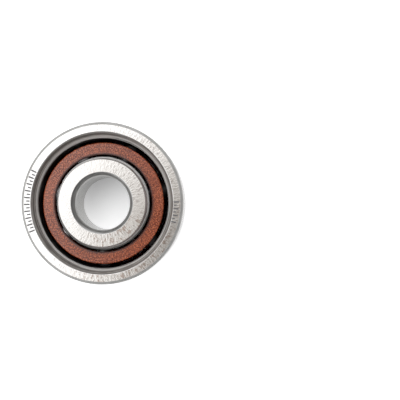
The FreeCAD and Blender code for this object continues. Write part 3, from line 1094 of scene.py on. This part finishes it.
sheet.node("ShaderNodeOutputMaterial", {}, {"Surface": both})
table.data.materials.append(light_table)
print(f"table: {TABLE_SIZE} m across, glowing outside radius {OUTSIDE_RADIUS / MM:.1f} mm")

# %% [markdown]
# ## Light
#
# The light is one very large soft window overhead to the left. It fades towards
# the horizon, where the walls of the room glow faintly all round, and the ceiling
# opposite it is grey. A small dim and warm patch close to straight above is what
# a camera that hangs there takes from the light. Flat polished faces show the sky
# as a mirror does, so the edge of the window lies across them. Area lamps could
# make the same light, but a sky that is worked out from direction has no lamp
# that could come into view, and its soft edges can be set one by one.

# %% Window in the sky
WINDOW_HEADING = math.radians(150)
WINDOW_LIGHT = 1.8
WINDOW_FOOT = 0.30
WINDOW_FULL = 0.85
HORIZON_SHARE = 0.30
ROOM_END = -0.06
WINDOW_START = 0.07
WINDOW_END = 0.50
FAR_END = 0.75
GREY_ROOM = 0.12
FAR_WINDOW = 0.45
RAY_DIRECTION = 0

world = bpy.data.worlds.new("studio")
bpy.context.scene.world = world
sky = Finish(world)
ray = sky.node("ShaderNodeTexCoord", output=RAY_DIRECTION)
ray_x, ray_y, ray_z = [sky.part(ray, letter) for letter in "XYZ"]
toward = ray_x * math.cos(WINDOW_HEADING) + ray_y * math.sin(WINDOW_HEADING)


def grey(level):
    return (level, level, level, 1)


def across(toward_window):
    """Place on the ramp of a direction's share toward the window, from -1 to 1."""
    return (toward_window + 1) / 2


stops = [
    (across(ROOM_END), grey(GREY_ROOM)),
    (across(WINDOW_START), grey(1.0)),
    (across(WINDOW_END), grey(1.0)),
    (across(FAR_END), grey(FAR_WINDOW)),
]
window = sky.node("ShaderNodeValToRGB", {"stops": stops}, {0: across(toward)})
above = sky.ease(ray_z, WINDOW_FOOT, WINDOW_FULL)
from_window = window * WINDOW_LIGHT * (HORIZON_SHARE + above * (1 - HORIZON_SHARE))
print(f"window: {len(stops)} stops across, heading {math.degrees(WINDOW_HEADING):.0f} degrees")

# %% Walls, the camera's shade and the backdrop
WALL_GLOW = 0.14
WALL_FULL = 0.25
WALL_TOP = 0.55
CAMERA_SHADE = 0.32
SHADE_CENTRE = (-0.04, -0.05, 0.998)
SHADE_INNER = 0.05
SHADE_OUTER = 0.30
SHADE_TINT = (1.0, 0.94, 0.88, 1)
BACKDROP = 0.96
IS_CAMERA_RAY = 0

from_walls = (1 - sky.ease(ray_z, WALL_FULL, WALL_TOP)) * WALL_GLOW
apart = {"operation": "DISTANCE"}
from_shade = sky.node("ShaderNodeVectorMath", apart, {0: ray, 1: SHADE_CENTRE}, VALUE_OUTPUT)
unshaded = sky.ease(from_shade, SHADE_INNER, SHADE_OUTER)
light = (from_window + from_walls) * (CAMERA_SHADE + unshaded * (1 - CAMERA_SHADE))
tint = sky.blend(unshaded, SHADE_TINT, grey(1.0))
tinted = sky.node("ShaderNodeVectorMath", {"operation": "SCALE"}, {0: tint, "Scale": light})
seen_straight = sky.node("ShaderNodeLightPath", output=IS_CAMERA_RAY)
seen = sky.blend(seen_straight, tinted, grey(BACKDROP))
shine = sky.node("ShaderNodeBackground", {}, {"Color": seen})
sky.node("ShaderNodeOutputWorld", {}, {"Surface": shine})
bpy.context.scene.view_settings.view_transform = "Standard"
print(f"sky: {len(sky.tree.nodes)} nodes")

# %% [markdown]
# ## Camera
#
# The camera hangs close above the table, to the right of the bearing, looking
# almost straight down. So close, the perspective is strong: the far side of the
# relief and the far wall of the bore open towards the camera, and their near
# sides turn away.

# %% Camera
CAMERA_PLACE = Vector((20.77, -1.47, 118.59)) * MM
CAMERA_LEAN = (math.radians(1.05), math.radians(1.43), 0)
FOCAL_LENGTH = 54.0
SENSOR_WIDTH = 36.0
NEAREST_SEEN = 0.01
FARTHEST_SEEN = 10

bpy.ops.object.select_all(action="DESELECT")
bpy.ops.object.camera_add(location=CAMERA_PLACE, rotation=CAMERA_LEAN)
camera = bpy.context.object
camera.data.lens = FOCAL_LENGTH
camera.data.sensor_width = SENSOR_WIDTH
camera.data.clip_start = NEAREST_SEEN
camera.data.clip_end = FARTHEST_SEEN
bpy.context.scene.camera = camera
print(f"camera: {CAMERA_PLACE.z / MM:.1f} mm above the table")

# %% [markdown]
# ## Finish
#
# The box of the CAD model is printed in millimetres.

# %% Print the CAD box
print("CAD box", [round(x / MM, 3) for x in (*cad_low, *cad_high)])
